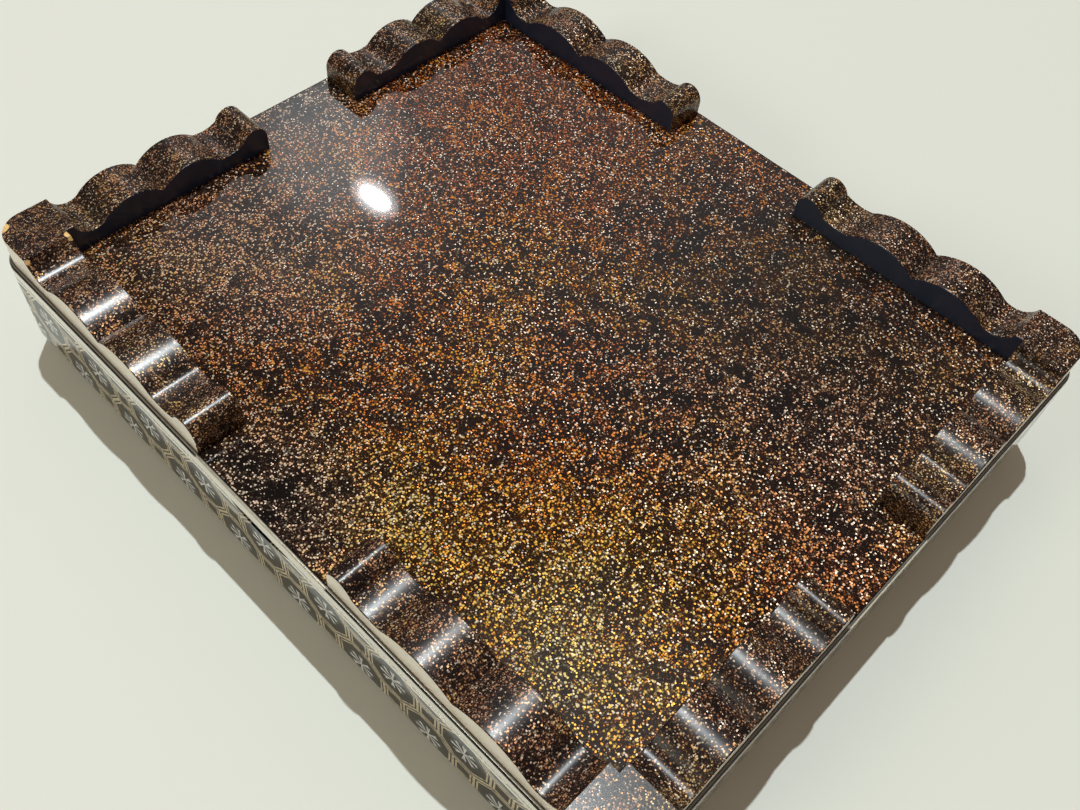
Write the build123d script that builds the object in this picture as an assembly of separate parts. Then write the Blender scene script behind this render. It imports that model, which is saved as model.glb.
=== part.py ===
# Lacquered letter box: a shallow document box with a full-depth lid, on four scroll-sawn bracket feet.
# X runs along the long sides, Y from front to back and Z up. The box stands on Z = 0, with its centre
# over the origin. Every length is in millimetres.
import os
from math import radians, sin, sqrt

from build123d import *

# Outside of the closed box
LENGTH = 330.0
WIDTH = 280.0
HEIGHT = 66.0
CORNER_R = 13.0

# Bracket feet
FOOT_H = 13.0
FOOT_T = 20.0
FOOT_INSET = 1.6
LONG_ARM = 128.5
SHORT_ARM = 114.5
PAD = 23.5
LOBE_H = 12.8
KNOB_R = 6.4
KNOB_H = 12.7
DIP_H = 6.9
CUSP_H = 7.4
DIP_SHARE = 0.1475

# Base board
BASE_T = 6.0
BASE_EDGE_R = 1.6

# Lid
SKIRT_T = 6.0
LID_SEAM = 0.3
SKIRT_TOP_Z = 48.0
SHOULDER_R = 12.4
CROWN_R = 2900.0
ROOF_T = 6.0
NOTCH_W = 32.0
NOTCH_H = 3.2

# Inner walls
WALL_T = 5.0
LID_CLEARANCE = 0.8
WALL_TOP_Z = 50.5

BASE_Z = FOOT_H
FLOOR_Z = BASE_Z + BASE_T
SKIRT_Z = FLOOR_Z + LID_SEAM
WALL_INSET = SKIRT_T + LID_CLEARANCE


def corner_point(half_x, half_y, radius):
    """The middle of a rounded corner, where a mitre meets the outline."""
    cut = radius * (1 - 1 / sqrt(2))
    return half_x - cut, half_y - cut


def board_plan(half_x, half_y, thickness, radius):
    """Plan of the board along -Y of a mitred frame whose outer corners are rounded."""
    cx, cy = corner_point(half_x, half_y, radius)
    turn = radius * sin(radians(22.5))
    drop = radius * (1 - sin(radians(67.5)))
    near = (half_x - radius + turn, -half_y + drop)
    with BuildSketch() as plan:
        with BuildLine():
            Line((-half_x + radius, -half_y), (half_x - radius, -half_y))
            ThreePointArc((half_x - radius, -half_y), near, (cx, -cy))
            Line((cx, -cy), (half_x - thickness, -half_y + thickness))
            Line((half_x - thickness, -half_y + thickness), (-half_x + thickness, -half_y + thickness))
            Line((-half_x + thickness, -half_y + thickness), (-cx, -cy))
            ThreePointArc((-cx, -cy), (-near[0], near[1]), (-half_x + radius, -half_y))
        make_face()
    return plan.sketch


def frame_board(side, half_x, half_y, thickness, radius, low, high):
    """One board of a mitred frame, standing from low to high on the named side."""
    along_x = side in ("front", "back")
    halves = (half_x, half_y) if along_x else (half_y, half_x)
    plan = board_plan(halves[0], halves[1], thickness, radius)
    board = Pos(0, 0, low) * extrude(plan, high - low)
    turns = {"front": 0, "right": 90, "back": 180, "left": 270}
    return Rot(0, 0, turns[side]) * board


def rounded_block(half_x, half_y, radius, low, high):
    block = extrude(RectangleRounded(2 * half_x, 2 * half_y, radius), high - low)
    return Pos(0, 0, low) * block


def base_board():
    board = rounded_block(LENGTH / 2, WIDTH / 2, CORNER_R, BASE_Z, FLOOR_Z)
    under_edges = board.faces().sort_by(Axis.Z)[0].edges()
    return fillet(under_edges, BASE_EDGE_R)


def arm_profile(length):
    """Side view of a foot moulding, from the outer corner of the foot to its rounded end.

    X runs along the arm and Y is the height under the base board.
    """
    free = length - PAD - 2 * KNOB_R
    dip = DIP_SHARE * free
    lobe = free / 2 - dip
    lobe_start = PAD + dip
    cusp = lobe_start + lobe
    lobe_end = cusp + lobe
    knob_start = lobe_end + dip
    knob_x = length - KNOB_R
    knob_mid = KNOB_H - KNOB_R
    slant = KNOB_R * sin(radians(45))
    with BuildSketch() as profile:
        with BuildLine():
            Polyline((0, 0), (0, FOOT_H), (PAD, FOOT_H))
            ThreePointArc((PAD, FOOT_H), (PAD + 0.45 * dip, DIP_H), (lobe_start, CUSP_H))
            ThreePointArc((lobe_start, CUSP_H), (lobe_start + lobe / 2, LOBE_H), (cusp, CUSP_H))
            ThreePointArc((cusp, CUSP_H), (cusp + lobe / 2, LOBE_H), (lobe_end, CUSP_H))
            ThreePointArc((lobe_end, CUSP_H), (lobe_end + 0.55 * dip, DIP_H), (knob_start, knob_mid + 2))
            ThreePointArc((knob_start, knob_mid + 2), (knob_x - slant, knob_mid + slant), (knob_x, KNOB_H))
            ThreePointArc((knob_x, KNOB_H), (knob_x + slant, knob_mid + slant), (length, knob_mid))
            Polyline((length, knob_mid), (length, 0), (0, 0))
        make_face()
    return profile.sketch


def arm_plan(length):
    """Plan of a foot moulding from its mitre to its end; its outer face lies on Y = 0."""
    radius = CORNER_R - FOOT_INSET
    cut = radius * (1 - 1 / sqrt(2))
    turn = radius * sin(radians(22.5))
    drop = radius * (1 - sin(radians(67.5)))
    with BuildSketch() as plan:
        with BuildLine():
            Line((FOOT_T, FOOT_T), (cut, cut))
            ThreePointArc((cut, cut), (radius - turn, drop), (radius, 0))
            Polyline((radius, 0), (length, 0), (length, FOOT_T), (FOOT_T, FOOT_T))
        make_face()
    return plan.sketch


def foot_arm(length):
    """A foot moulding that lies along +X from its corner, hanging under the base board.

    Its outer face lies on Y = 0 and its inner face on Y = FOOT_T.
    """
    hanging = Plane(origin=(0, 0, BASE_Z), x_dir=(1, 0, 0), z_dir=(0, 1, 0))
    scroll = extrude(hanging * arm_profile(length), FOOT_T)
    outline = Pos(0, 0, -1) * extrude(arm_plan(length), FOOT_H + 2)
    return scroll & outline


def feet():
    """The eight foot mouldings by name: two mitred together under each corner."""
    corner_x = LENGTH / 2 - FOOT_INSET
    corner_y = WIDTH / 2 - FOOT_INSET
    left_long = Pos(-corner_x, -corner_y, 0) * foot_arm(LONG_ARM)
    right_long = mirror(left_long, about=Plane.YZ)
    right_short = Pos(corner_x, -corner_y, 0) * Rot(0, 0, 90) * foot_arm(SHORT_ARM)
    left_short = mirror(right_short, about=Plane.YZ)
    half_turn = Rot(0, 0, 180)
    return {
        "foot_front_left_long": left_long,
        "foot_front_left_short": left_short,
        "foot_front_right_long": right_long,
        "foot_front_right_short": right_short,
        "foot_back_left_long": half_turn * right_long,
        "foot_back_left_short": half_turn * right_short,
        "foot_back_right_long": half_turn * left_long,
        "foot_back_right_short": half_turn * left_short,
    }


def body_walls():
    """The four inner walls, which hold the papers and guide the lid."""
    half_x = LENGTH / 2 - WALL_INSET
    half_y = WIDTH / 2 - WALL_INSET
    radius = CORNER_R - WALL_INSET
    pieces = {}
    for side in ("front", "back", "left", "right"):
        wall = frame_board(side, half_x, half_y, WALL_T, radius, FLOOR_Z, WALL_TOP_Z)
        pieces[f"body_wall_{side}"] = wall
    return pieces


def finger_notch():
    """A shallow arc under the middle of a long skirt board, for lifting the lid."""
    notch_r = ((NOTCH_W / 2) ** 2 + NOTCH_H ** 2) / (2 * NOTCH_H)
    centre_z = SKIRT_Z + NOTCH_H - notch_r
    return Pos(0, 0, centre_z) * Rot(90, 0, 0) * Cylinder(notch_r, WIDTH + 10)


def lid_skirt():
    """The four boards of the lid's skirt; the long ones have a finger notch."""
    pieces = {}
    for side in ("front", "back", "left", "right"):
        board = frame_board(side, LENGTH / 2, WIDTH / 2, SKIRT_T, CORNER_R, SKIRT_Z, SKIRT_TOP_Z)
        if side in ("front", "back"):
            board = board - finger_notch()
        pieces[f"lid_skirt_{side}"] = board
    return pieces


def crown(radius, top):
    """A barrel along X, so large that its top is the gentle crown of the lid."""
    return Pos(0, 0, top - radius) * Rot(0, 90, 0) * Cylinder(radius, LENGTH + 20)


def lid_top_board():
    """The crowned top board: rounded shoulders outside, hollowed to an even thickness inside."""
    block = rounded_block(LENGTH / 2, WIDTH / 2, CORNER_R, SKIRT_TOP_Z, HEIGHT + 1)
    crowned = block & crown(CROWN_R, HEIGHT)
    rim = crowned.faces().sort_by(Axis.Z)[-1].edges()
    shell = fillet(rim, SHOULDER_R)
    half_x = LENGTH / 2 - SKIRT_T
    half_y = WIDTH / 2 - SKIRT_T
    pocket = rounded_block(half_x, half_y, CORNER_R - SKIRT_T, SKIRT_TOP_Z - 1, HEIGHT)
    return shell - (pocket & crown(CROWN_R - ROOF_T, HEIGHT - ROOF_T))


def letter_box():
    pieces = {"base_board": base_board(), "lid_top_board": lid_top_board()}
    pieces.update(feet())
    pieces.update(body_walls())
    pieces.update(lid_skirt())
    return pieces


os.makedirs("parts", exist_ok=True)
for node, piece in letter_box().items():
    export_step(piece, f"parts/{node}.step")
    print(node, "volume", round(piece.volume / 1000, 2), "cm3")
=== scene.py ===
# %% [markdown]
# # A lacquered letter box, seen from underneath
#
# The box is a shallow document case in wood, covered in lacquer. Its lid is as deep as the box and
# lifts straight off. The photograph shows it turned over on its lid, with its four bracket feet in
# the air. The model stands on its feet, as it does in use, so the camera is put below it and looks
# up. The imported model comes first, and every piece is then made round it, in metres.

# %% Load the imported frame
import math
from functools import partial

import bpy
from mathutils import Matrix, Vector


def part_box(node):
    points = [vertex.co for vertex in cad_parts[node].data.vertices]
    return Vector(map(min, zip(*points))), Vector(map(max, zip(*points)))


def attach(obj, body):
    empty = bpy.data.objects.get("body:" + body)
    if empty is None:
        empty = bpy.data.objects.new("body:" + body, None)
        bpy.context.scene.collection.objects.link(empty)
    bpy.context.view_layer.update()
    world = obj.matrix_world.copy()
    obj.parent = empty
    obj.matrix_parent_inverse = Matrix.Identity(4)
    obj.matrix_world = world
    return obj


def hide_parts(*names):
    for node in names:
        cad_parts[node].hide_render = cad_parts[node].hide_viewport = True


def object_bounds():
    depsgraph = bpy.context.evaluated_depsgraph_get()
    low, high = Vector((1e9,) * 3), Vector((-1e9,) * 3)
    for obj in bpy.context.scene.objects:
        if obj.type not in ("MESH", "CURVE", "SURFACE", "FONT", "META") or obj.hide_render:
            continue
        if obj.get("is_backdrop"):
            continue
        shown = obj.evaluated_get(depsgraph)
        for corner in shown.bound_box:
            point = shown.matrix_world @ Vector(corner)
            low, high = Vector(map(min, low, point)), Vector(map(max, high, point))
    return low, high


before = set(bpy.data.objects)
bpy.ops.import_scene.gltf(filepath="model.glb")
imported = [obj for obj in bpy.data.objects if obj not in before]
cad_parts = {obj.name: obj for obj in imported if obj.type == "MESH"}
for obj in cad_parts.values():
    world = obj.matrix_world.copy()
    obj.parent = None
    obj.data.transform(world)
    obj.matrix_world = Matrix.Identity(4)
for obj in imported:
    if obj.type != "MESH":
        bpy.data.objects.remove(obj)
cad_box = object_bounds()
bpy.ops.object.select_all(action="DESELECT")

# %% Sizes that several steps share
# The half sizes are in metres. Each side is flat, up to where the corner starts to turn, for this
# many millimetres from its middle.
mm = 0.001
HALF_X = cad_box[1].x
HALF_Y = cad_box[1].y
LID_TOP = cad_box[1].z
CORNER = 13 * mm
FLAT_X = (HALF_X - CORNER) / mm
FLAT_Y = (HALF_Y - CORNER) / mm
print("half sizes", round(HALF_X / mm, 1), round(HALF_Y / mm, 1), "mm")

# %% [markdown]
# ## The camera
#
# A camera is a place, a direction and a lens. The four corners of the feet and the edges of the
# underside gave all three, so it isn't turned by eye. It stands under the front left corner and
# looks up, and it is rolled over, because the photographer looked down on an upturned box.

# %% The camera under the box
CAMERA_PLACE = (-0.1766, -0.2207, -0.3144)
CAMERA_TURN = (-144.541, 4.466, 135.719)
bpy.ops.object.camera_add(
    location=CAMERA_PLACE,
    rotation=[math.radians(angle) for angle in CAMERA_TURN],
)
camera = bpy.context.object
camera.name = "camera_under_the_box"
camera.data.sensor_width = 36
camera.data.lens = 36.3
camera.data.clip_start = 0.01
bpy.context.scene.camera = camera
print("camera", [round(x, 3) for x in camera.location], "lens", round(camera.data.lens, 1), "mm")

# %% [markdown]
# ## Working with nodes
#
# Light and finishes are worked out with arithmetic: how near a direction is to a bright window,
# where a flake lies, how far a point is from a line of the lattice. A few small helpers keep that
# readable. Each takes numbers or sockets and gives sockets back.


# %% Helpers for node arithmetic
def plug(tree, socket, value):
    """Set a socket to a number, a vector or a colour, or link another socket to it."""
    if isinstance(value, bpy.types.NodeSocket):
        tree.links.new(value, socket)
    else:
        socket.default_value = value


def feed(tree, node, inputs):
    """Set or link some of a node's inputs, by name."""
    for name, value in inputs.items():
        plug(tree, node.inputs[name], value)


def maths(operation, tree, *values, clamp=False):
    node = tree.nodes.new("ShaderNodeMath")
    node.operation = operation
    node.use_clamp = clamp
    for socket, value in zip(node.inputs, values):
        plug(tree, socket, value)
    return node.outputs["Value"]


plus = partial(maths, "ADD")
minus = partial(maths, "SUBTRACT")
times = partial(maths, "MULTIPLY")
times_plus = partial(maths, "MULTIPLY_ADD")
larger = partial(maths, "MAXIMUM")
absolute = partial(maths, "ABSOLUTE")


def vector_maths(operation, tree, *values, scale=None):
    """Arithmetic on vectors. It gives both outputs, which are called Vector and Value."""
    node = tree.nodes.new("ShaderNodeVectorMath")
    node.operation = operation
    for socket, value in zip(node.inputs, values):
        plug(tree, socket, value)
    if scale is not None:
        plug(tree, node.inputs["Scale"], scale)
    return node.outputs


def ramp(tree, value, start, end, low=0.0, high=1.0):
    """A smooth step from low to high while value goes from start to end."""
    node = tree.nodes.new("ShaderNodeMapRange")
    node.interpolation_type = "SMOOTHSTEP"
    feed(tree, node, {"Value": value, "From Min": start, "From Max": end, "To Min": low, "To Max": high})
    return node.outputs["Result"]


def mixed(tree, share, first, second):
    """A mix of two shaders: the first where the share is 0, and the second where it is 1."""
    node = tree.nodes.new("ShaderNodeMixShader")
    for socket, given in zip(node.inputs, (share, first, second)):
        tree.links.new(given, socket)
    return node.outputs["Shader"]


print("node helpers ready")

# %% [markdown]
# ## Two floors
#
# The part needs a floor whichever way it is looked at. From above, it stands on a pale floor under
# its feet. From below, it lies on its lid on a pale table. Each is a plane that only its own side
# shows: the back of it is made clear, with the Backfacing output, and it throws no shadow. The
# table has an opening under the crown of the lid, so that the lid doesn't mirror it from above. The
# floor fades into the background far from the box, so that it has no dark horizon.

# %% Sizes and colours of the two floors, in metres
FLOOR_SIZE = 6
OPENING_X = 0.157
OPENING_Y = 0.131
FADE_START = 0.45
FADE_END = 1.9
FLOOR_COLOUR = (0.82, 0.84, 0.78, 1)
TABLE_COLOUR = (0.758, 0.777, 0.706, 1)
BACKGROUND = (0.85, 0.86, 0.82, 1)
print("the floor fades out between", FADE_START, "and", FADE_END, "m")


# %% A plain pale surface that shows from one side
def pale_surface(name, colour, fades):
    """A pale paint. If it fades, it turns into plain background with the distance from the box."""
    material = bpy.data.materials.new(name)
    material.use_nodes = True
    tree = material.node_tree
    paint = tree.nodes["Principled BSDF"]
    feed(tree, paint, {"Base Color": colour, "Roughness": 0.6, "Specular IOR Level": 0.1})
    surface = paint.outputs["BSDF"]
    if fades:
        place = tree.nodes.new("ShaderNodeTexCoord")
        distance = vector_maths("LENGTH", tree, place.outputs["Object"])["Value"]
        share = ramp(tree, distance, FADE_START, FADE_END)
        background = tree.nodes.new("ShaderNodeEmission")
        background.inputs["Color"].default_value = BACKGROUND
        surface = mixed(tree, share, surface, background.outputs["Emission"])
    clear = tree.nodes.new("ShaderNodeBsdfTransparent")
    side = tree.nodes.new("ShaderNodeNewGeometry")
    one_sided = mixed(tree, side.outputs["Backfacing"], surface, clear.outputs["BSDF"])
    tree.links.new(one_sided, tree.nodes["Material Output"].inputs["Surface"])
    return material


# %% The floor under the feet
bpy.ops.mesh.primitive_plane_add(size=FLOOR_SIZE)
floor = bpy.context.object
floor.name = "floor"
floor.data.materials.append(pale_surface("pale_floor", FLOOR_COLOUR, fades=True))
floor.visible_diffuse = False
floor.visible_glossy = False
floor.visible_shadow = False
floor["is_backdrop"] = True
print("floor", [round(x, 2) for x in floor.dimensions])

# %% The table under the lid
# A square hole is left by an inset, and then stretched to the size of the opening.
HALF_HOLE = 0.3
bpy.ops.mesh.primitive_plane_add(size=FLOOR_SIZE, location=(0, 0, LID_TOP), rotation=(math.pi, 0, 0))
table = bpy.context.object
table.name = "table"
bpy.ops.object.transform_apply(location=True, rotation=True, scale=True)
bpy.ops.object.mode_set(mode="EDIT")
bpy.ops.mesh.select_all(action="SELECT")
bpy.ops.mesh.inset(thickness=FLOOR_SIZE / 2 - HALF_HOLE)
bpy.ops.transform.resize(
    value=(OPENING_X / HALF_HOLE, OPENING_Y / HALF_HOLE, 1),
    center_override=(0, 0, LID_TOP),
)
bpy.ops.mesh.delete(type="FACE")
bpy.ops.object.mode_set(mode="OBJECT")
table.data.materials.append(pale_surface("pale_table", TABLE_COLOUR, fades=False))
table.visible_diffuse = False
table.visible_shadow = False
table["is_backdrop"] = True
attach(table, "lid")
print("table at", round(LID_TOP, 3), "m, faces", len(table.data.polygons))

# %% [markdown]
# ## Light
#
# The photograph has one small, far lamp, which gives the shadow its sharp and straight edge, and one
# near lamp whose reflection burns a white oval in the lacquer, with a soft halo round it. A soft
# lamp at the front lightens the shadow on that side. These hang under the model here. Two soft lamps
# above it light the views from that side. The world gives a weak, warm fill. What the lacquer
# mirrors of it is dimmer and cooler, but for a few soft bright places.


# %% Lamps
def lamp(name, place, size, power, aim=(0, 0, 0.02), colour=(1, 1, 1)):
    bpy.ops.object.light_add(type="AREA", location=place)
    light = bpy.context.object
    light.name = name
    light.data.shape = "DISK"
    light.data.size = size
    light.data.energy = power
    light.data.color = colour
    direction = Vector(aim) - Vector(place)
    light.rotation_euler = direction.to_track_quat("-Z", "Y").to_euler()
    light.visible_camera = False
    return light


def oval(light, height, turn):
    """Make a round lamp oval, and turn it about its own axis by a number of degrees."""
    light.data.shape = "ELLIPSE"
    light.data.size_y = height
    light.rotation_euler.rotate_axis("Z", math.radians(turn))


lamp("key_lamp", (1.4, 1.26, -8), 0.12, 466, colour=(0.90, 0.97, 1.0))
lamp("soft_lamp", (0.5, -1.9, -1.3), 0.7, 9.8, colour=(0.97, 1.0, 0.88))
GLARE = Vector((0.090, -0.010, 0.013))
TO_GLARE_LAMP = Vector((0.566, 0.446, -0.694))
GLARE_TURN = -36
oval(lamp("glare_lamp", GLARE + 1.2 * TO_GLARE_LAMP, 0.050, 0.145, aim=GLARE), 0.022, GLARE_TURN)
oval(lamp("glare_halo", GLARE + 1.25 * TO_GLARE_LAMP, 0.080, 0.045, aim=GLARE), 0.046, GLARE_TURN)
lamp("window_above", (-0.7, -1.1, 1.5), 0.9, 26).visible_glossy = False
lamp("fill_above", (1.2, 0.5, 1.3), 1.1, 17)

# %% Soft bright places that the lacquer mirrors
# Each has a direction, the angle in degrees at which it has faded out, and its strength.
SOFT_SPOTS = (
    ((0.13, 0.28, -0.95), 12, 0.62),
    ((0.612, 0.436, -0.660), 4.5, 1.3),
    ((0.63, 0.41, -0.66), 11, 0.50),
    ((0.54, 0.60, -0.59), 24, 0.32),
    ((0.30, 0.72, -0.63), 24, 0.08),
)
print("soft spots", len(SOFT_SPOTS))

# %% The world
world = bpy.data.worlds.new("even_fill")
bpy.context.scene.world = world
world.use_nodes = True
sky = world.node_tree
outward = sky.nodes.new("ShaderNodeTexCoord").outputs["Generated"]
brightness = 0.05
for direction, reach, strength in SOFT_SPOTS:
    facing = vector_maths("DOT_PRODUCT", sky, outward, direction)["Value"]
    spot = ramp(sky, facing, math.cos(math.radians(reach)), 1.0, 0.0, strength)
    brightness = plus(sky, spot, brightness)
fill = sky.nodes["Background"]
fill.inputs["Color"].default_value = (0.29, 0.23, 0.185, 1)
mirrored = sky.nodes.new("ShaderNodeBackground")
feed(sky, mirrored, {"Color": (0.98, 1.0, 1.02, 1), "Strength": brightness})
seen = sky.nodes.new("ShaderNodeBackground")
seen.inputs["Color"].default_value = BACKGROUND
rays = sky.nodes.new("ShaderNodeLightPath")
shown = mixed(sky, rays.outputs["Is Glossy Ray"], fill.outputs[0], mirrored.outputs[0])
shown = mixed(sky, rays.outputs["Is Camera Ray"], shown, seen.outputs[0])
sky.links.new(shown, sky.nodes["World Output"].inputs["Surface"])
bpy.context.scene.view_settings.view_transform = "Standard"
print("world", world.name, len(sky.nodes), "nodes")

# %% [markdown]
# ## Finishes
#
# Lengths in the finishes are in millimetres, so the coordinates are multiplied first. Every finish
# but the floors' is a lacquer, whose clear coat lies over a base colour.


# %% Helpers for finishes
def blend_colours(tree, share, first, second):
    node = tree.nodes.new("ShaderNodeMix")
    node.data_type = "RGBA"
    plug(tree, node.inputs[0], share)
    plug(tree, node.inputs[6], first)
    plug(tree, node.inputs[7], second)
    return node.outputs[2]


def millimetres(tree, unit=1.0):
    """Object coordinates in millimetres, or in a coarser or finer unit."""
    place = tree.nodes.new("ShaderNodeTexCoord")
    return vector_maths("SCALE", tree, place.outputs["Object"], scale=1000 / unit)["Vector"]


def parts_of(tree, vector):
    node = tree.nodes.new("ShaderNodeSeparateXYZ")
    tree.links.new(vector, node.inputs[0])
    return node.outputs[0], node.outputs[1], node.outputs[2]


def cloud(tree, vector, size, detail=2.0, seed=0.0):
    """Soft noise from 0 to 1 whose lumps are about size millimetres across."""
    node = tree.nodes.new("ShaderNodeTexNoise")
    node.noise_dimensions = "4D"
    feed(tree, node, {"Vector": vector, "W": seed, "Scale": 1 / size, "Detail": detail})
    return node.outputs["Fac"]


def slanting(tree, across, up):
    """The length of a line, from how far it goes across and how far it goes up."""
    squares = times_plus(tree, across, across, times(tree, up, up))
    return maths("SQRT", tree, squares)


def beyond_corner(tree, x, y, half_x, half_y):
    """How far a point is outside the middle of a plan whose corners are rounded."""
    out_x = larger(tree, minus(tree, absolute(tree, x), half_x), 0.0)
    out_y = larger(tree, minus(tree, absolute(tree, y), half_y), 0.0)
    return slanting(tree, out_x, out_y)


def patch(tree, vector, centre, radius):
    """1 at the centre, fading smoothly to 0 at the radius."""
    distance = vector_maths("DISTANCE", tree, vector, centre)["Value"]
    return ramp(tree, distance, 0.0, radius, 1.0, 0.0)


def lacquer(name):
    """A new material with a clear, glossy coat over its base."""
    material = bpy.data.materials.new(name)
    material.use_nodes = True
    tree = material.node_tree
    shader = tree.nodes["Principled BSDF"]
    feed(tree, shader, {"Coat Weight": 1.0, "Coat Roughness": 0.045, "Coat IOR": 1.52})
    return material, tree, shader


print("finish helpers ready")

# %% [markdown]
# ## Sprinkled lacquer
#
# The underside and the feet are finished in sprinkled lacquer: gold flakes are shaken on to wet
# black lacquer and buried under a clear amber coat. A Voronoi texture gives one cell to each flake.
# A flake is the part of its cell that lies near the cell's point, so its size and colour can be
# drawn by lot. Two layers are used, a bright one near the surface and a dim one deeper down.


# %% A layer of flakes
def flake_layer(tree, vector, cell, smallest, largest):
    """Where the flakes lie, three numbers drawn by lot for each flake, and the lots as a vector."""
    node = tree.nodes.new("ShaderNodeTexVoronoi")
    feed(tree, node, {"Vector": vector, "Scale": 1 / cell})
    lots = tree.nodes.new("ShaderNodeSeparateColor")
    tree.links.new(node.outputs["Color"], lots.inputs[0])
    reach = ramp(tree, lots.outputs[0], 0.0, 1.0, smallest, largest)
    gap = minus(tree, reach, node.outputs["Distance"])
    inside = ramp(tree, gap, -0.04, 0.06)
    return inside, lots.outputs[0], lots.outputs[1], lots.outputs[2], node.outputs["Color"]


def tilted(tree, lots, amount):
    """The surface normal, leant over by a flake's lots, where there is a flake."""
    centred = vector_maths("SUBTRACT", tree, lots, (0.5, 0.5, 0.5))["Vector"]
    surface = tree.nodes.new("ShaderNodeNewGeometry")
    leant = vector_maths("MULTIPLY_ADD", tree, centred, amount, surface.outputs["Normal"])["Vector"]
    return vector_maths("NORMALIZE", tree, leant)["Vector"]


def ruffled(tree, vector, size, amount):
    """The coordinates pushed about a little, so that flakes aren't round."""
    node = tree.nodes.new("ShaderNodeTexNoise")
    feed(tree, node, {"Vector": vector, "Scale": 1 / size, "Detail": 1.0})
    return vector_maths("MULTIPLY_ADD", tree, node.outputs["Color"], (amount,) * 3, vector)["Vector"]


print("flake helpers ready")

# %% [markdown]
# The coat isn't the same depth everywhere. Where it is thick the flakes look red, where it is thin
# they look golden, and where they lie sparse they look grey. Soft maps, made of noise and of a few
# patches, steer the tone, the greyness and the number of the flakes. The lots drawn for a flake then
# move its own tone, and its brightness, which is partly its own and partly a painted glint. They turn
# the flakes of the lowest lots a painted glint's pale white, and lean each flake over, since flakes
# lie at all angles to the light.

# %% Colours of the flakes, from the reddest tone at 0 to the most golden at 1
FLAKE_TONES = (
    (0.00, (0.14, 0.030, 0.016, 1)),
    (0.25, (0.52, 0.105, 0.035, 1)),
    (0.50, (0.95, 0.29, 0.035, 1)),
    (0.75, (0.96, 0.58, 0.08, 1)),
    (1.00, (0.98, 0.86, 0.42, 1)),
)
GREY_FLAKE = (0.78, 0.66, 0.51, 1)
# The pale white painted on the palest flakes as a glint.
PAINTED_GLINT_WHITE = (1.00, 0.84, 0.66, 1)
BLACK_GROUND = (0.0060, 0.0050, 0.0045, 1)


def flake_tone(tree, position):
    node = tree.nodes.new("ShaderNodeValToRGB")
    stops = node.color_ramp.elements
    while len(stops) < len(FLAKE_TONES):
        stops.new(0.5)
    for stop, (where, colour) in zip(stops, FLAKE_TONES):
        stop.position = where
        stop.color = colour
    plug(tree, node.inputs["Fac"], position)
    return node.outputs["Color"]


print("flake tones", len(FLAKE_TONES))

# %% The deep layer of flakes, and then the bright one over it
# Each has its cell in millimetres, its smallest and largest flake as shares of the cell, its lowest
# and highest brightness, which is partly a painted glint, how pale its palest flakes are painted as
# glints, and how far its tone is moved.
FLAKE_LAYERS = (
    (0.50, 0.30, 0.60, 0.02, 0.15, 0.3, -0.14),
    (0.78, 0.31, 0.61, 0.09, 1.0, 0.85, 0.0),
)
RUFFLE_SIZE = 0.5
RUFFLE = 0.36
AMBER_GLOW = 0.030
TONE_SPREAD = 0.48
FLAKE_METAL = 0.45
FLAKE_LEAN = 0.5
FLAKE_ROUGHNESS = 0.46
print("flake layers", len(FLAKE_LAYERS))


# %% Sprinkled lacquer from maps
def sprinkled(tree, shader, amount, tone, greyness, grain=1.0, shine=1.0):
    """The colour of sprinkled lacquer, from maps of how many flakes, how golden and how grey.

    It also returns how metallic the bright flakes are, and it sets their lean to the light. With a
    grain under one the flakes are finer, and with a shine under one they are dimmer.
    """
    place = ruffled(tree, millimetres(tree, grain), RUFFLE_SIZE, RUFFLE)
    glow = times(tree, amount, AMBER_GLOW)
    amber = flake_tone(tree, minus(tree, tone, 0.10))
    colour = blend_colours(tree, glow, BLACK_GROUND, amber)
    for cell, smallest, largest, low, high, painted_glint_paleness, tone_shift in FLAKE_LAYERS:
        inside, size_lot, shown_lot, light_lot, lots = flake_layer(tree, place, cell, smallest, largest)
        share = times(tree, inside, maths("LESS_THAN", tree, shown_lot, amount))
        own_shift = times_plus(tree, size_lot, TONE_SPREAD, tone_shift - TONE_SPREAD / 2)
        own = flake_tone(tree, plus(tree, tone, own_shift, clamp=True))
        # Painted glint: the flakes with the lowest lots are blended towards pale white.
        pale = ramp(tree, shown_lot, 0.27, 0.14, 0.0, painted_glint_paleness)
        own = blend_colours(tree, pale, own, PAINTED_GLINT_WHITE)
        own = blend_colours(tree, greyness, own, GREY_FLAKE)
        # A flake's brightness, drawn by lot, is partly its own and partly a painted glint.
        glint = times(tree, ramp(tree, light_lot, 0.0, 1.0, low, high), shine)
        lit = vector_maths("SCALE", tree, own, scale=glint)["Vector"]
        colour = blend_colours(tree, share, colour, lit)
    metal = times(tree, share, FLAKE_METAL)
    lean = times(tree, share, FLAKE_LEAN)
    feed(tree, shader, {
        "Normal": tilted(tree, lots, lean),
        "Metallic": metal,
        "Roughness": FLAKE_ROUGHNESS,
        "Specular IOR Level": 0.0,
    })
    return colour, metal


# %% Patches of the underside
# Each patch has its middle, its reach and its strength, in millimetres. The flakes are golden, red
# or dull there, greyer and sparser at the edge, fewer and dimmer where it is quiet, or crowded.
UNDERSIDE_Z = 13
PATCHES = {
    "gold": ((-88, -90, 85, 1.0), (-30, -108, 55, 0.4)),
    "red": ((90, 85, 110, 1.0), (-62, -45, 45, 1.0)),
    "dull": ((-110, 50, 120, 1.0), (110, -80, 90, 1.0)),
    "edge": ((5, -140, 62, 1.0), (165, 5, 45, 1.0)),
    "quiet": ((-70, 85, 130, 1.0),),
    "crowded": ((95, 85, 110, 1.0),),
}


def patches(tree, vector, kind):
    """The sum of the patches of one kind."""
    total = 0.0
    for x, y, reach, strength in PATCHES[kind]:
        here = patch(tree, vector, (x, y, UNDERSIDE_Z), reach)
        total = times_plus(tree, here, strength, total)
    return total


print("patches", sum(len(spots) for spots in PATCHES.values()))
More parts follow.
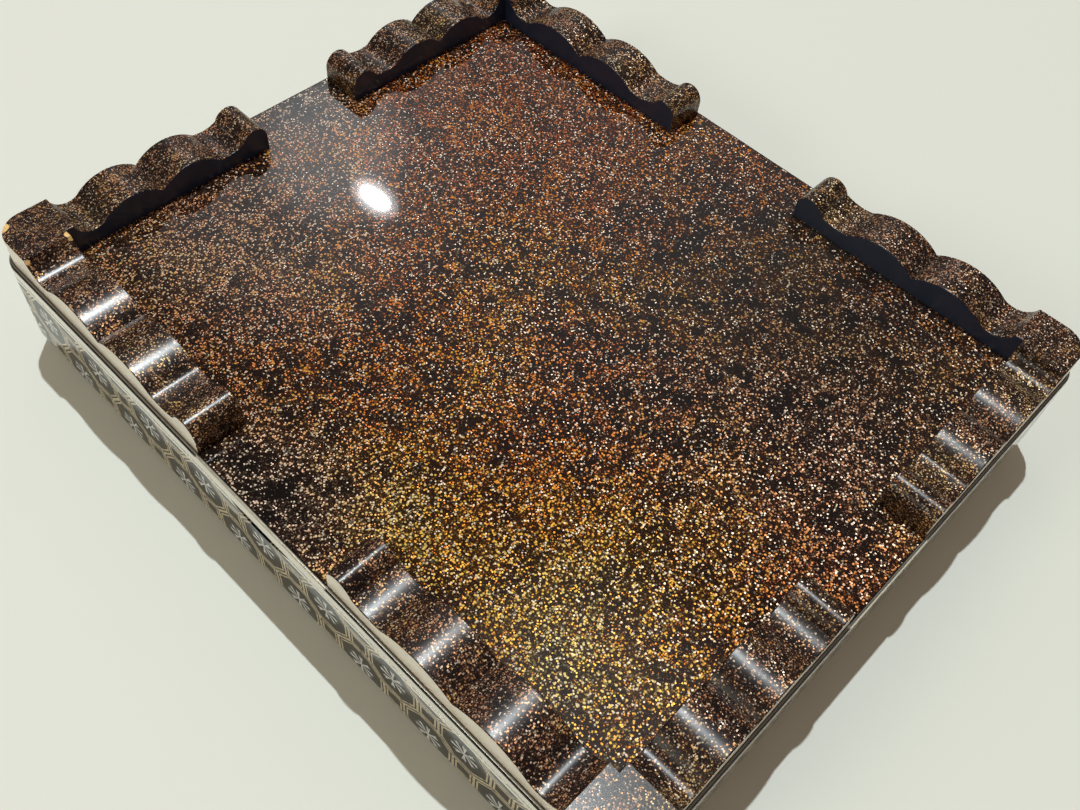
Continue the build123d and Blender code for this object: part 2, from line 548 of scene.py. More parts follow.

# %% Where the rim of the underside is dusted in pale gold, with painted reflection and shade by the feet
# The inner ends of the feet lie 35 mm and 24 mm from the middle of the box. Each pair is how far out
# from the flat middle of the board, in millimetres, something starts or stops, and where it has done
# so. The side of the board lies 13 mm out. Beside the feet, a thin line of painted reflection lies
# next to each foot, and the arris beyond it is left black as painted shade of the feet.
RIM_GOLD = (0.73, 0.66, 0.555, 1)
FOOT_END_X = 35
FOOT_END_Y = 24
FLAKES_STOP = (11.5, 11.3)
ARRIS_STARTS = (11.7, 12.3)
PAINTED_REFLECTION_STARTS = (11.55, 11.75)
PAINTED_REFLECTION_STOPS = (12.45, 12.25)
SIDE_STARTS = (12.88, 12.96)


def rim_share(tree, x, y, out):
    """Gold between the feet. Beside them a painted reflection line, painted shade and the board's gold
    side.
    """
    past_x = ramp(tree, absolute(tree, x), FOOT_END_X - 1, FOOT_END_X + 1)
    past_y = ramp(tree, absolute(tree, y), FOOT_END_Y - 1, FOOT_END_Y + 1)
    beside_feet = times(tree, past_x, past_y)
    arris = ramp(tree, out, *ARRIS_STARTS)
    starts = ramp(tree, out, *PAINTED_REFLECTION_STARTS)
    stops = ramp(tree, out, *PAINTED_REFLECTION_STOPS)
    painted_reflection_line = times(tree, times(tree, starts, stops), 0.6)
    # Between the painted reflection line and the side, the arris beside the feet stays black, as painted
    # shade.
    reflection_and_side = larger(tree, painted_reflection_line, ramp(tree, out, *SIDE_STARTS))
    return ramp(tree, beside_feet, 0.0, 1.0, arris, reflection_and_side)


print("rim gold", RIM_GOLD[:3])


# %% Sprinkled lacquer of the underside
def underside_lacquer():
    material, tree, shader = lacquer("sprinkled_underside")
    place = millimetres(tree)
    slow = cloud(tree, place, 55, seed=1.0)
    quick = cloud(tree, place, 8, detail=3.0, seed=2.0)
    gold = patches(tree, place, "gold")
    edge = patches(tree, place, "edge")
    quiet = patches(tree, place, "quiet")
    tone = times_plus(tree, gold, 0.31, 0.425)
    tone = times_plus(tree, patches(tree, place, "red"), -0.15, tone)
    tone = plus(tree, tone, ramp(tree, slow, 0.3, 0.7, -0.10, 0.10))
    grey_edge = times(tree, edge, 0.8)
    greyness = times_plus(tree, patches(tree, place, "dull"), 0.35, grey_edge, clamp=True)
    amount = times_plus(tree, gold, 0.26, ramp(tree, quick, 0.36, 0.60, 0.35, 0.86))
    amount = times_plus(tree, patches(tree, place, "crowded"), 0.28, amount)
    amount = times_plus(tree, edge, -0.30, amount)
    amount = times_plus(tree, quiet, -0.22, amount)
    x, y = parts_of(tree, place)[:2]
    out = beyond_corner(tree, x, y, FLAT_X, FLAT_Y)
    amount = times(tree, amount, ramp(tree, out, *FLAKES_STOP))
    # The rim holds the pale gold, and beside the feet a painted reflection line and painted shade.
    rim = rim_share(tree, x, y, out)
    shine = times_plus(tree, quiet, -0.5, 1.0)
    flakes, metal = sprinkled(tree, shader, amount, tone, greyness, shine=shine)
    feed(tree, shader, {
        "Base Color": blend_colours(tree, rim, flakes, RIM_GOLD),
        "Metallic": larger(tree, metal, rim),
        "Roughness": ramp(tree, rim, 0.0, 1.0, FLAKE_ROUGHNESS, 0.34),
    })
    return material


UNDERSIDE = underside_lacquer()
print("material", UNDERSIDE.name, len(UNDERSIDE.node_tree.nodes), "nodes")

# %% Chips and worn spots of the feet, in millimetres, with the reach of each
WORN_SPOTS = (
    ((160.2, -135.8, 0.3), 5.4),
    ((140.6, -118.2, 0.2), 4.4),
    ((138.5, -137.5, 0.5), 3.0),
    ((71.5, -137.6, 1.0), 1.6),
    ((-137.3, -137.6, 1.5), 2.4),
)
BARE_WOOD = (0.90, 0.58, 0.24, 1)
print("worn spots", len(WORN_SPOTS))


# %% Sprinkled lacquer of the feet
def foot_lacquer():
    material, tree, shader = lacquer("sprinkled_feet")
    place = millimetres(tree)
    slow = cloud(tree, place, 30, seed=4.0)
    quick = cloud(tree, place, 7, seed=5.0)
    amount = ramp(tree, quick, 0.35, 0.65, 0.34, 0.84)
    tone = ramp(tree, slow, 0.35, 0.70, 0.34, 0.62)
    flakes = sprinkled(tree, shader, amount, tone, 0.30, grain=0.8)[0]
    worn = 0.0
    for spot, reach in WORN_SPOTS:
        worn = larger(tree, patch(tree, place, spot, reach), worn)
    ragged = times_plus(tree, cloud(tree, place, 2.0, seed=7.0), 0.8, worn)
    bare = ramp(tree, ragged, 0.84, 0.90)
    colour = blend_colours(tree, bare, flakes, BARE_WOOD)
    feed(tree, shader, {"Base Color": colour, "Coat Roughness": 0.27, "Coat Weight": 0.75})
    return material


FOOT = foot_lacquer()
print("material", FOOT.name, len(FOOT.node_tree.nodes), "nodes")


# %% Pale gold on the outer sides of the feet, and plain black on the inner ones
def plain_lacquer(name, first, second, metallic, roughness, coat):
    """A lacquer in two near tones, blended by a soft noise."""
    material, tree, shader = lacquer(name)
    shade = ramp(tree, cloud(tree, millimetres(tree), 6, detail=3.0, seed=10.0), 0.3, 0.7)
    feed(tree, shader, {
        "Base Color": blend_colours(tree, shade, first, second),
        "Metallic": metallic,
        "Roughness": roughness,
        "Coat Weight": coat,
        "Coat Roughness": 0.2,
    })
    return material


OUTER_SIDE = plain_lacquer("pale_gold_outer_sides", (0.70, 0.62, 0.48, 1), (0.76, 0.68, 0.55, 1),
                           metallic=0.6, roughness=0.36, coat=0.5)
INNER_SIDE = plain_lacquer("plain_black_inner_sides", (0.012, 0.021, 0.052, 1), (0.016, 0.025, 0.058, 1),
                           metallic=0.0, roughness=0.4, coat=0.35)
print("materials", OUTER_SIDE.name, INNER_SIDE.name)


# %% Sprinkled lacquer inside, with fewer flakes
def inside_lacquer():
    material, tree, shader = lacquer("sprinkled_inside")
    place = millimetres(tree)
    amount = ramp(tree, cloud(tree, place, 12, seed=8.0), 0.3, 0.7, 0.18, 0.42)
    tone = ramp(tree, cloud(tree, place, 40, seed=6.0), 0.3, 0.7, 0.45, 0.65)
    flakes = sprinkled(tree, shader, amount, tone, 0.1)[0]
    tree.links.new(flakes, shader.inputs["Base Color"])
    return material


INSIDE = inside_lacquer()
print("material", INSIDE.name, len(INSIDE.node_tree.nodes), "nodes")

# %% [markdown]
# ## The lattice on the lid
#
# The lid is mirror black with an octagon and square lattice in pale gold, a traditional ground of
# woven silk and of lacquer, and a small silver flower in each octagon. It could be drawn as
# thousands of curves. It is quicker to fold the plane: every point is brought into one octagon with
# Wrap nodes, and its distance from that octagon's sides says whether it is on a line. The UV map
# counts lattice steps along the walls, so the lattice goes round the corners without a break.

# %% Sizes of the lattice, in millimetres
# An octagon and a square are measured from the middle to a side, and a line to half its width.
STEP = 34.0
OCTAGON = 12.0
INNER_OCTAGON = 10.35
SQUARE = 3.4
WIDE_LINE = 0.55
FINE_LINE = 0.38
SOFT_EDGE = 0.08
PETALS = 8
PETAL_REACH = 6.1
print("lattice step", STEP, "mm, octagon", 2 * OCTAGON, "mm across")


# %% Where the gold lines and the silver petals lie
def lattice(tree, across, up):
    """Masks for the gold lines and the silver petals, from two lengths in millimetres.

    The octagons lie in slanting rows. A point is folded into one octagon along both slants, and u and
    v are then its place across and up from the middle of that octagon.
    """
    half = STEP / math.sqrt(2) / 2
    root = 1 / math.sqrt(2)
    slant_a = times(tree, plus(tree, across, up), root)
    slant_b = times(tree, minus(tree, across, up), root)
    near_a = maths("WRAP", tree, slant_a, half, -half)
    near_b = maths("WRAP", tree, slant_b, half, -half)
    u = times(tree, plus(tree, near_a, near_b), root)
    v = times(tree, minus(tree, near_a, near_b), root)
    big = larger(tree, absolute(tree, u), absolute(tree, v))
    small = maths("MINIMUM", tree, absolute(tree, u), absolute(tree, v))
    slanted = larger(tree, absolute(tree, near_a), absolute(tree, near_b))
    octagon = larger(tree, big, slanted)
    square = larger(tree, minus(tree, STEP / 2, big), small)
    lines = line_at(tree, octagon, OCTAGON, WIDE_LINE)
    lines = larger(tree, lines, line_at(tree, octagon, INNER_OCTAGON, FINE_LINE))
    lines = larger(tree, lines, line_at(tree, square, SQUARE, FINE_LINE))
    return lines, petals(tree, u, v)


def line_at(tree, distance, where, half_width):
    off = absolute(tree, minus(tree, distance, where))
    return ramp(tree, off, half_width + SOFT_EDGE, half_width - SOFT_EDGE)


def petals(tree, u, v):
    """Eight narrow petals that widen outwards and end in a shallow fork."""
    angle = maths("ARCTAN2", tree, v, u)
    turn = math.pi / PETALS
    off = maths("WRAP", tree, angle, turn, -turn)
    reach = slanting(tree, u, v)
    along = times(tree, reach, maths("COSINE", tree, off))
    aside = absolute(tree, times(tree, reach, maths("SINE", tree, off)))
    width = ramp(tree, along, 0.8, PETAL_REACH, 0.28, 0.95)
    edge = minus(tree, width, aside)
    tip = minus(tree, times_plus(tree, aside, 0.9, PETAL_REACH - 0.6), along)
    inside = ramp(tree, edge, -SOFT_EDGE, SOFT_EDGE)
    return times(tree, inside, ramp(tree, tip, -SOFT_EDGE, SOFT_EDGE))


# %% Where the lattice shows
# The walls' lattice ends at a gold line round the shoulder. On the top it fills a panel, whose
# frame is a rounded line this far outside a rectangle with these half sides.
SHOULDER_LINE_Z = 59.0
PANEL_X = 138.0
PANEL_Y = 113.0
PANEL_ROUND = 8.0


def panel(tree, x, y, z):
    """Where the lattice shows, and the plain gold lines that frame it on the walls and on the top."""
    frame_off = minus(tree, beyond_corner(tree, x, y, PANEL_X, PANEL_Y), PANEL_ROUND)
    over_line = ramp(tree, z, SHOULDER_LINE_Z, SHOULDER_LINE_Z + 0.2)
    on_top = times(tree, ramp(tree, frame_off, 0.1, -0.1), over_line)
    on_wall = ramp(tree, z, SHOULDER_LINE_Z + 0.1, SHOULDER_LINE_Z - 0.1)
    top_line = times(tree, line_at(tree, frame_off, 0.0, 0.6), over_line)
    wall_line = line_at(tree, z, SHOULDER_LINE_Z, 0.5)
    return larger(tree, on_top, on_wall), larger(tree, top_line, wall_line)


print("panel", 2 * (PANEL_X + PANEL_ROUND), "by", 2 * (PANEL_Y + PANEL_ROUND), "mm")

# %% Mirror black lacquer with the lattice
HEM_TOP = 21.3
MIRROR_BLACK = (0.010, 0.010, 0.009, 1)
LINE_GOLD = (0.56, 0.47, 0.29, 1)
PETAL_SILVER = (0.62, 0.63, 0.60, 1)


def patterned_lacquer():
    """Black, with the lattice and its flowers a little worn, and a hem of pale gold."""
    material, tree, shader = lacquer("mirror_black_lattice")
    unrolled = tree.nodes.new("ShaderNodeUVMap")
    unrolled.uv_map = "lattice"
    steps_along, steps_up = parts_of(tree, unrolled.outputs["UV"])[:2]
    along = times(tree, steps_along, STEP)
    up = times(tree, steps_up, STEP)
    lines, flower = lattice(tree, along, up)
    place = millimetres(tree)
    worn_gold = ramp(tree, cloud(tree, place, 2.5, detail=3.0, seed=3.0), 0.30, 0.55, 0.35, 1.0)
    worn_silver = ramp(tree, cloud(tree, place, 1.2, seed=9.0), 0.3, 0.5, 0.5, 1.0)
    x, y, z = parts_of(tree, place)
    shown, frame_lines = panel(tree, x, y, z)
    gold = times(tree, times(tree, lines, worn_gold), shown)
    gold = larger(tree, gold, frame_lines)
    silver = times(tree, times(tree, flower, worn_silver), shown)
    drawn = larger(tree, gold, silver)
    hem = ramp(tree, z, HEM_TOP, HEM_TOP - 0.3)
    colour = blend_colours(tree, gold, MIRROR_BLACK, LINE_GOLD)
    colour = blend_colours(tree, silver, colour, PETAL_SILVER)
    colour = blend_colours(tree, hem, colour, RIM_GOLD)
    metal = larger(tree, times(tree, drawn, 0.55), hem)
    feed(tree, shader, {
        "Base Color": colour,
        "Metallic": metal,
        "Roughness": ramp(tree, drawn, 0.0, 1.0, 0.10, 0.38),
        "Specular IOR Level": 0.0,
        "Coat Weight": 0.8,
        "Coat Roughness": 0.08,
    })
    return material


LATTICE = patterned_lacquer()
print("material", LATTICE.name, len(LATTICE.node_tree.nodes), "nodes")

# %% [markdown]
# ## Making pieces
#
# Every board starts as a block at its real size, and every foot as the outline of its scroll. Both
# are then worked like wood: arrises are rounded with Bevel, and mitres are cut with Bisect. Edges are
# picked in code by where they lie. The object's own origin stays at the middle of the floor, as the
# CAD nodes have it.


# %% Helpers for blocks and edges
# Points nearer than this, in metres, count as level with each other. An edge that turns by fewer
# degrees than the other is shaded smooth.
NEAR = 1e-5
SMOOTH_ANGLE = 35


def block(name, low, high):
    """A rectangular block between two corners, in metres."""
    low, high = Vector(low), Vector(high)
    bpy.ops.object.select_all(action="DESELECT")
    bpy.ops.mesh.primitive_cube_add(size=1, location=(low + high) / 2)
    piece = bpy.context.object
    piece.name = name
    piece.scale = high - low
    bpy.ops.object.transform_apply(location=True, rotation=True, scale=True)
    return piece


def make_active(piece):
    bpy.ops.object.select_all(action="DESELECT")
    piece.select_set(True)
    bpy.context.view_layer.objects.active = piece


def edit(piece, operator, everything=False, **settings):
    """Use a mesh operator on all of a piece, or on what is selected of it."""
    make_active(piece)
    bpy.ops.object.mode_set(mode="EDIT")
    if everything:
        bpy.ops.mesh.select_all(action="SELECT")
    operator(**settings)
    bpy.ops.object.mode_set(mode="OBJECT")


def pick_nothing(piece, kind):
    """Deselect the whole piece, so that its edges or its faces can be picked."""
    make_active(piece)
    bpy.ops.object.mode_set(mode="EDIT")
    bpy.ops.mesh.select_mode(type=kind)
    bpy.ops.mesh.select_all(action="DESELECT")
    bpy.ops.object.mode_set(mode="OBJECT")


def round_edges(piece, wanted, radius, segments):
    """Round the edges for whose two ends wanted(a, b) is true."""
    pick_nothing(piece, "EDGE")
    points = piece.data.vertices
    for edge in piece.data.edges:
        edge.select = wanted(*(points[index].co for index in edge.vertices))
    edit(piece, bpy.ops.mesh.bevel, offset=radius, segments=segments, affect="EDGES")


def upright(a, b):
    return abs(a.x - b.x) < NEAR and abs(a.y - b.y) < NEAR


def cut(piece, point, normal):
    """Cut the piece with a plane and keep the side that the normal points away from."""
    edit(piece, bpy.ops.mesh.bisect, everything=True, plane_co=point, plane_no=normal, use_fill=True,
         clear_outer=True, threshold=1e-6)


def smooth(piece):
    """Shade the rounded arrises smoothly, with normals that keep the large faces mirror flat."""
    make_active(piece)
    bpy.ops.object.shade_smooth_by_angle(angle=math.radians(SMOOTH_ANGLE))
    flat = piece.modifiers.new("flat_faces", "WEIGHTED_NORMAL")
    flat.keep_sharp = True
    flat.weight = 100
    bpy.ops.object.modifier_apply(modifier=flat.name)


def copy_of(piece, name):
    """A copy with a mesh of its own."""
    other = piece.copy()
    other.data = piece.data.copy()
    other.name = name
    bpy.context.collection.objects.link(other)
    return other


def finish_piece(piece, body, node):
    """Put the piece on its body, in place of its CAD node, which is hidden."""
    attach(piece, body)
    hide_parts(node)
    print(piece.name, "faces", len(piece.data.polygons))


print("modelling helpers ready")

# %% [markdown]
# ## The base board
#
# The base board carries the whole box, and the feet are glued under it. It is a block whose corners
# are rounded in plan. Its lower arris is softened too, and catches the light as a pale rim, with a
# painted reflection line and painted shade on it beside the feet.

# %% Base board
LOWER_ARRIS = 1.6 * mm
UPPER_ARRIS = 0.35 * mm
base_low, base_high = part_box("base_board")
base = block("lacquered_base_board", base_low, base_high)
round_edges(base, upright, CORNER, 32)
round_edges(base, lambda a, b: max(a.z, b.z) < base_low.z + NEAR, LOWER_ARRIS, 6)
round_edges(base, lambda a, b: min(a.z, b.z) > base_high.z - NEAR, UPPER_ARRIS, 2)
base.data.materials.append(UNDERSIDE)
smooth(base)
finish_piece(base, "box", "base_board")

# %% [markdown]
# ## The feet
#
# Each foot is two lengths of moulding, mitred at the corner, whose lower edge is sawn in a scroll: a
# flat pad, a dip, two lobes with a cusp between them, a dip and a rounded end. The scroll is laid
# out as arcs through three points, as with a compass. A disc is added with as many corners as the
# outline needs, its rim is laid along the scroll, and the face is extruded to the moulding's
# thickness.

# %% Sizes of the foot moulding, in millimetres
# The lobe, knob, dip and cusp are given by their height below the base board. A dip passes through
# its height at DIP_MIDDLE of its length from the pad or the knob, and the knob starts KNOB_START
# below its own middle.
ARMS = {"long": 128.5, "short": 114.5}
FOOT_HEIGHT = 13.0
FOOT_THICK = 20.0
INSET = 1.6
PAD = 23.5
LOBE = 12.8
KNOB_RADIUS = 6.4
KNOB = 12.7
DIP = 6.9
CUSP = 7.4
DIP_SHARE = 0.1475
DIP_MIDDLE = 0.45
KNOB_START = 2.0
ARRIS = 0.55
print("arms", ARMS)


# %% Laying out the scroll
def arc(start, through, end, steps):
    """Points along the circle through three points, without the first."""
    ax, ay = start
    bx, by = through
    cx, cy = end
    turn = 2 * (ax * (by - cy) + bx * (cy - ay) + cx * (ay - by))
    ux = ((ax**2 + ay**2) * (by - cy) + (bx**2 + by**2) * (cy - ay) + (cx**2 + cy**2) * (ay - by)) / turn
    uy = ((ax**2 + ay**2) * (cx - bx) + (bx**2 + by**2) * (ax - cx) + (cx**2 + cy**2) * (bx - ax)) / turn
    radius = math.hypot(ax - ux, ay - uy)
    first = math.atan2(ay - uy, ax - ux)
    sweep = math.remainder(math.atan2(cy - uy, cx - ux) - first, 2 * math.pi)
    middle = math.remainder(math.atan2(by - uy, bx - ux) - first, 2 * math.pi)
    if middle * sweep < 0:
        sweep -= math.copysign(2 * math.pi, sweep)
    angles = [first + sweep * step / steps for step in range(1, steps + 1)]
    return [(ux + radius * math.cos(angle), uy + radius * math.sin(angle)) for angle in angles]


def scroll_outline(length):
    """Points round the side view of a moulding: distance along it, and height below the base board."""
    free = length - PAD - 2 * KNOB_RADIUS
    dip = DIP_SHARE * free
    lobe = free / 2 - dip
    first = PAD + dip
    cusp = first + lobe
    last = cusp + lobe
    knob = last + dip
    end = length - KNOB_RADIUS
    middle = KNOB - KNOB_RADIUS
    slant = KNOB_RADIUS * math.sin(math.radians(45))
    knob_foot = (knob, middle + KNOB_START)
    points = [(0, 0), (0, FOOT_HEIGHT), (PAD, FOOT_HEIGHT)]
    points += arc((PAD, FOOT_HEIGHT), (PAD + DIP_MIDDLE * dip, DIP), (first, CUSP), 9)
    points += arc((first, CUSP), (first + lobe / 2, LOBE), (cusp, CUSP), 16)
    points += arc((cusp, CUSP), (cusp + lobe / 2, LOBE), (last, CUSP), 16)
    points += arc((last, CUSP), (knob - DIP_MIDDLE * dip, DIP), knob_foot, 8)
    points += arc(knob_foot, (end - slant, middle + slant), (end, KNOB), 8)
    points += arc((end, KNOB), (end + slant, middle + slant), (length, middle), 8)
    points.append((length, 0))
    return points


print("points round a long scroll", len(scroll_outline(ARMS["long"])))


# %% One length of moulding
def moulding(name, length):
    """A moulding along +X from its foot's outer corner, with its outer face on Y = 0."""
    outline = scroll_outline(length)
    bpy.ops.object.select_all(action="DESELECT")
    bpy.ops.mesh.primitive_circle_add(vertices=len(outline), radius=0.05, fill_type="NGON")
    piece = bpy.context.object
    piece.name = name
    for point, (along, down) in zip(piece.data.vertices, outline):
        point.co = (along * mm, 0, (FOOT_HEIGHT - down) * mm)
    edit(piece, bpy.ops.mesh.extrude_region_move, everything=True,
         TRANSFORM_OT_translate={"value": (0, FOOT_THICK * mm, 0)})
    edit(piece, bpy.ops.mesh.normals_make_consistent, everything=True, inside=False)
    round_edges(piece, lambda a, b: upright(a, b) and max(a.x, a.y) < NEAR, CORNER - INSET * mm, 16)
    cut(piece, (0, 0, 0), (-1, 1, 0))
    return piece


def soften(piece, length):
    """Round the arrises, but not the mitre, the glued face or the hollows across the scroll."""
    pick_nothing(piece, "EDGE")
    edit(piece, bpy.ops.mesh.edges_select_sharp, sharpness=math.radians(40))
    points = piece.data.vertices
    for face in piece.data.polygons:
        face.select = False
    for edge in piece.data.edges:
        a, b = (points[index].co for index in edge.vertices)
        on_mitre = abs(a.x - a.y) < NEAR and abs(b.x - b.y) < NEAR
        glued = min(a.z, b.z) > (FOOT_HEIGHT - 0.01) * mm
        across = abs(a.y - b.y) > (FOOT_THICK - 1) * mm and a.x < (length - 1) * mm
        edge.select = edge.select and not (on_mitre or glued or across)
    edit(piece, bpy.ops.mesh.bevel, offset=ARRIS * mm, segments=3, affect="EDGES", clamp_overlap=True)


print("arris of the feet", ARRIS, "mm")

# %% The eight mouldings
# A long arm runs along X and a short one along Y, for which X and Y are swapped. The signs lay each
# arm at its own corner, and the normals are then turned outwards again.
foot_x = HALF_X - INSET * mm
foot_y = HALF_Y - INSET * mm
SWAP_X_AND_Y = Matrix(((0, 1, 0, 0), (1, 0, 0, 0), (0, 0, 1, 0), (0, 0, 0, 1)))
for kind, length in ARMS.items():
    pattern = moulding("moulding_" + kind, length)
    soften(pattern, length)
    for finish in (FOOT, OUTER_SIDE, INNER_SIDE):
        pattern.data.materials.append(finish)
    for face in pattern.data.polygons:
        corner = face.center.x < CORNER and abs(face.normal.z) < 0.1
        if corner or face.normal.y < -0.9:
            face.material_index = 1
        elif face.normal.y > 0.9:
            face.material_index = 2
    for depth, sign_y in (("front", -1), ("back", 1)):
        for side, sign_x in (("left", -1), ("right", 1)):
            foot = copy_of(pattern, f"moulding_{depth}_{side}_{kind}")
            place = Matrix.Translation((sign_x * foot_x, sign_y * foot_y, 0))
            place = place @ Matrix.Diagonal((-sign_x, -sign_y, 1, 1))
            foot.data.transform(place @ SWAP_X_AND_Y if kind == "short" else place)
            edit(foot, bpy.ops.mesh.normals_make_consistent, everything=True, inside=False)
            smooth(foot)
            finish_piece(foot, "box", f"foot_{depth}_{side}_{kind}")
    bpy.data.objects.remove(pattern)

# %% [markdown]
# ## Walls
#
# The box and the lid's skirt are both frames of four thin boards, mitred at the corners. It is
# easiest to make the whole frame first: a block with rounded corners, open above and below, is
# given its thickness inwards with Solidify. Each board is then a copy of the frame, cut along the
# two mitres.


# %% A frame, and the boards cut from it
def thicken(piece, thickness):
    """Give a skin its thickness inwards. The inside takes the piece's second material."""
    make_active(piece)
    shell = piece.modifiers.new("thickness", "SOLIDIFY")
    shell.thickness = thickness
    shell.offset = -1
    shell.use_even_offset = True
    shell.material_offset = 1
    shell.material_offset_rim = 1
    bpy.ops.object.modifier_apply(modifier=shell.name)


def remove_faces(piece, wanted):
    pick_nothing(piece, "FACE")
    for face in piece.data.polygons:
        face.select = wanted(face)
    edit(piece, bpy.ops.mesh.delete, type="FACE")


def wall_frame(name, half_x, half_y, low, high, corner, thickness, outside, inside):
    """A frame of four walls with rounded corners, open above and below."""
    piece = block(name, (-half_x, -half_y, low), (half_x, half_y, high))
    round_edges(piece, upright, corner, 32)
    remove_faces(piece, lambda face: abs(face.normal.z) > 0.9)
    piece.data.materials.append(outside)
    piece.data.materials.append(inside)
    thicken(piece, thickness)
    return piece


def depth_in(point, half_x, half_y, corner):
    """How far a point lies inside a rectangle with rounded corners."""
    past_x = abs(point.x) - (half_x - corner)
    past_y = abs(point.y) - (half_y - corner)
    beyond = math.hypot(max(past_x, 0), max(past_y, 0))
    return corner - beyond - min(max(past_x, past_y), 0)


def along_boards(a, b, half_x, half_y, corner):
    """Whether an edge runs along the boards of a frame, and not across their thickness."""
    depth_a, depth_b = (depth_in(end, half_x, half_y, corner) for end in (a, b))
    return abs(depth_a - depth_b) < 1 * mm


# Each side has the direction in which it faces, and the signs of its two corners.
SIDES = {
    "front": ((0, -1), ((-1, -1), (1, -1))),
    "right": ((1, 0), ((1, -1), (1, 1))),
    "back": ((0, 1), ((1, 1), (-1, 1))),
    "left": ((-1, 0), ((-1, 1), (-1, -1))),
}


def boards(piece, half_x, half_y, prefix):
    """The four boards of a frame, by side. The frame itself is removed."""
    made = {}
    for side, (middle, corners) in SIDES.items():
        board = copy_of(piece, prefix + side)
        centre = Vector((middle[0] * half_x, middle[1] * half_y, 0))
        for sign_x, sign_y in corners:
            corner = Vector((sign_x * half_x, sign_y * half_y, 0))
            normal = Vector((sign_x, -sign_y, 0))
            if normal.dot(centre - corner) > 0:
                normal.negate()
            cut(board, corner, normal)
        made[side] = board
    bpy.data.objects.remove(piece)
    return made


print("sides", sorted(SIDES))

# %% Inner walls, with a rounded lip
WALL_INSET = 6.8 * mm
WALL_THICK = 5.0 * mm
WALL_CORNER = CORNER - WALL_INSET
LIP = 1.2 * mm
wall_low, wall_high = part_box("body_wall_front")
inner_x = HALF_X - WALL_INSET
inner_y = HALF_Y - WALL_INSET
inner = wall_frame("inner_frame", inner_x, inner_y, wall_low.z, wall_high.z, WALL_CORNER, WALL_THICK,
                   INSIDE, INSIDE)
round_edges(inner, lambda a, b: min(a.z, b.z) > wall_high.z - NEAR
            and along_boards(a, b, inner_x, inner_y, WALL_CORNER), LIP, 4)
for side, board in boards(inner, inner_x, inner_y, "inner_wall_").items():
    smooth(board)
    finish_piece(board, "box", "body_wall_" + side)

# %% [markdown]
# ## The lid
#
# The lid has four skirt boards and a crowned top. The long boards have a shallow finger notch, cut
# with a large cylinder. The lattice needs its UV map: along the walls it counts lattice steps round
# the corners, as if the lid were unrolled, and on the top it counts them along X and Y. On the short
# sides a step is a little longer, so that a whole number of steps goes round.

# %% Sizes for unrolling the lid, in millimetres
LATTICE_MIDDLE_Z = 31.0
SHOULDER = 12.4
SHOULDER_Z = 53.6
SHORT_STEP = 34.47
STEPS_HALFWAY = 17.5
FLAT_TOP_Z = 60
print("steps halfway round the lid", STEPS_HALFWAY)


# %% Unrolling the lid
def along_side(along, out, flat):
    """Distance along a side from its middle, in millimetres, carried on round the corner."""
    if abs(along) <= flat:
        return along
    turn = math.atan2(abs(along) - flat, CORNER / mm + out)
    return math.copysign(flat + CORNER / mm * turn, along)


def up_wall(z):
    """Height over the middle line of the lattice, carried on over the shoulder of the lid."""
    if z <= SHOULDER_Z:
        return z - LATTICE_MIDDLE_Z
    return SHOULDER_Z - LATTICE_MIDDLE_Z + SHOULDER * math.asin(min((z - SHOULDER_Z) / SHOULDER, 1))


def steps_round(side, x, y):
    """Lattice steps from the middle of the front, positive over the right side."""
    if side in ("front", "back"):
        out = abs(y) - HALF_Y / mm
        along = along_side(x, out, FLAT_X)
        return along / STEP if side == "front" else STEPS_HALFWAY - along / STEP
    out = abs(x) - HALF_X / mm
    steps = STEPS_HALFWAY / 2 + along_side(y, out, FLAT_Y) / SHORT_STEP
    return steps if side == "right" else -steps


def side_of(x, y):
    """The side that a point belongs to. The sides meet at the mitres."""
    gap_x = HALF_X / mm - abs(x)
    gap_y = HALF_Y / mm - abs(y)
    if gap_y <= gap_x:
        return "front" if y < 0 else "back"
    return "right" if x > 0 else "left"


def unroll(piece):
    """The UV map called lattice. Every face is laid out whole, on one side or on the top."""
    mesh = piece.data
    layer = mesh.uv_layers.new(name="lattice")
    for face in mesh.polygons:
        middle = face.center / mm
        side = side_of(middle.x, middle.y)
        flat_top = middle.z > FLAT_TOP_Z and abs(face.normal.z) > 0.8
        for loop in face.loop_indices:
            x, y, z = mesh.vertices[mesh.loops[loop].vertex_index].co / mm
            if flat_top:
                layer.data[loop].uv = (x / STEP, y / STEP)
            else:
                layer.data[loop].uv = (steps_round(side, x, y), up_wall(z) / STEP)


print("steps to the end of the front", round(steps_round("front", FLAT_X, -HALF_Y / mm), 2))

# %% Skirt boards
LID_THICK = 6 * mm
HEM_ARRIS = 0.45 * mm
skirt_low, skirt_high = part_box("lid_skirt_front")
skirt = wall_frame("skirt_frame", HALF_X, HALF_Y, skirt_low.z, skirt_high.z, CORNER, LID_THICK,
                   LATTICE, INSIDE)
round_edges(skirt, lambda a, b: max(a.z, b.z) < skirt_low.z + NEAR
            and along_boards(a, b, HALF_X, HALF_Y, CORNER), HEM_ARRIS, 3)
skirt_boards = boards(skirt, HALF_X, HALF_Y, "skirt_")
print("skirt boards", sorted(skirt_boards))

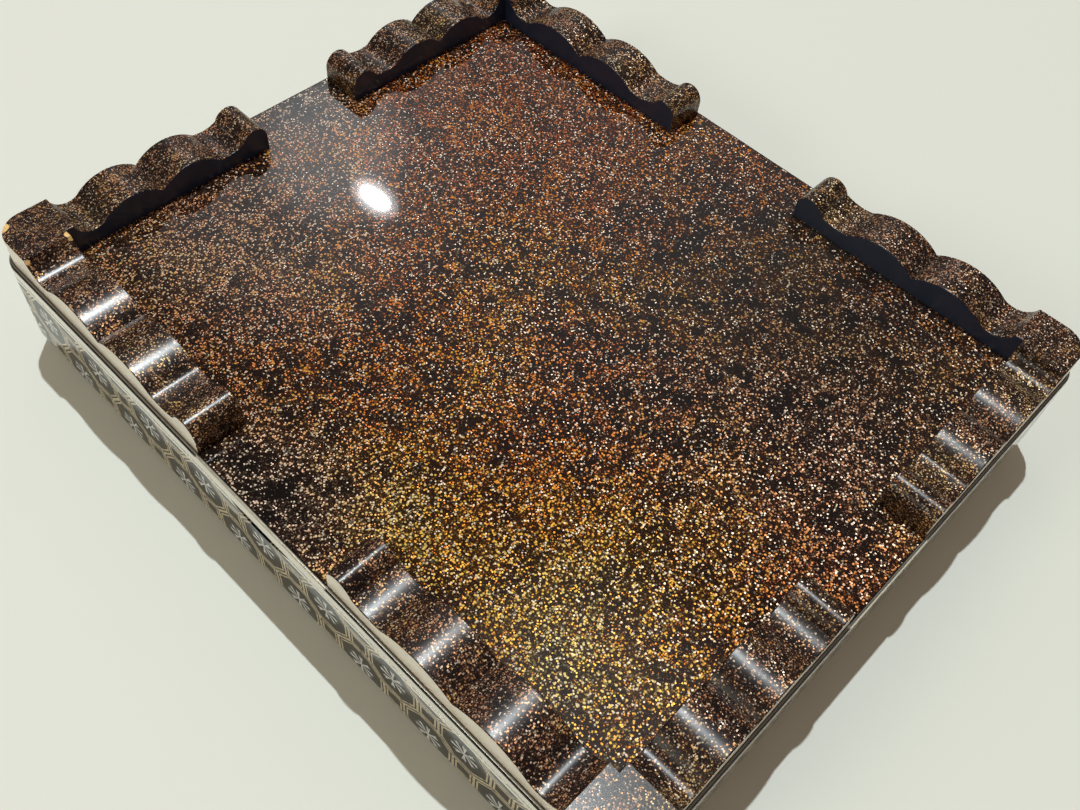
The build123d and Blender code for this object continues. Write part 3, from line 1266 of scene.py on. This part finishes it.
# %% Finger notches
NOTCH_WIDE = 32 * mm
NOTCH_HIGH = 3.2 * mm
notch_radius = ((NOTCH_WIDE / 2) ** 2 + NOTCH_HIGH**2) / (2 * NOTCH_HIGH)
bpy.ops.object.select_all(action="DESELECT")
bpy.ops.mesh.primitive_cylinder_add(
    vertices=256,
    radius=notch_radius,
    depth=2 * HALF_Y + 40 * mm,
    location=(0, 0, skirt_low.z + NOTCH_HIGH - notch_radius),
    rotation=(math.pi / 2, 0, 0),
)
cutter = bpy.context.object
for side in ("front", "back"):
    board = skirt_boards[side]
    make_active(board)
    notch = board.modifiers.new("notch", "BOOLEAN")
    notch.operation = "DIFFERENCE"
    notch.solver = "EXACT"
    notch.object = cutter
    bpy.ops.object.modifier_apply(modifier=notch.name)
bpy.data.objects.remove(cutter)
for side, board in skirt_boards.items():
    unroll(board)
    smooth(board)
    finish_piece(board, "lid", "lid_skirt_" + side)
print("notch radius", round(notch_radius / mm, 1), "mm")

# %% [markdown]
# The top board is crowned, like the lid of a chest: it is highest along its middle, and falls
# towards the front and the back as a very large circle does. A block's upper arris is rounded wide
# for the shoulder, and the block is cut into strips along X so that it can bend. Every point is then
# lowered, more the farther it is from the middle. The underside is taken off, and Solidify gives
# the rest its thickness.

# %% Top board
CROWN_RADIUS = 2.9
STRIP = 15 * mm
STRIPS_EACH_WAY = 8
top_low, top_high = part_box("lid_top_board")
top = block("lid_top", (-HALF_X, -HALF_Y, top_low.z), (HALF_X, HALF_Y, top_high.z))
round_edges(top, upright, CORNER, 32)
round_edges(top, lambda a, b: min(a.z, b.z) > top_high.z - NEAR, SHOULDER * mm, 12)
for step in range(-STRIPS_EACH_WAY, STRIPS_EACH_WAY + 1):
    edit(top, bpy.ops.mesh.bisect, everything=True, plane_co=(0, step * STRIP, 0), plane_no=(0, 1, 0),
         threshold=1e-6)
for point in top.data.vertices:
    share = (point.co.z - top_low.z) / (top_high.z - top_low.z)
    point.co.z -= point.co.y**2 / (2 * CROWN_RADIUS) * share
remove_faces(top, lambda face: face.center.z < top_low.z + NEAR)
top.data.materials.append(LATTICE)
top.data.materials.append(INSIDE)
thicken(top, LID_THICK)
unroll(top)
smooth(top)
finish_piece(top, "lid", "lid_top_board")

# %% [markdown]
# ## Sizes
#
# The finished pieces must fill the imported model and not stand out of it. Both boxes are written
# down, and their difference is printed.

# %% Compare the sizes and finish
visual_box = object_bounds()
for name, axis in (("X", 0), ("Y", 1), ("Z", 2)):
    low = (visual_box[0][axis] - cad_box[0][axis]) / mm
    high = (visual_box[1][axis] - cad_box[1][axis]) / mm
    print(name, "differs by", round(low, 3), "and", round(high, 3), "mm")
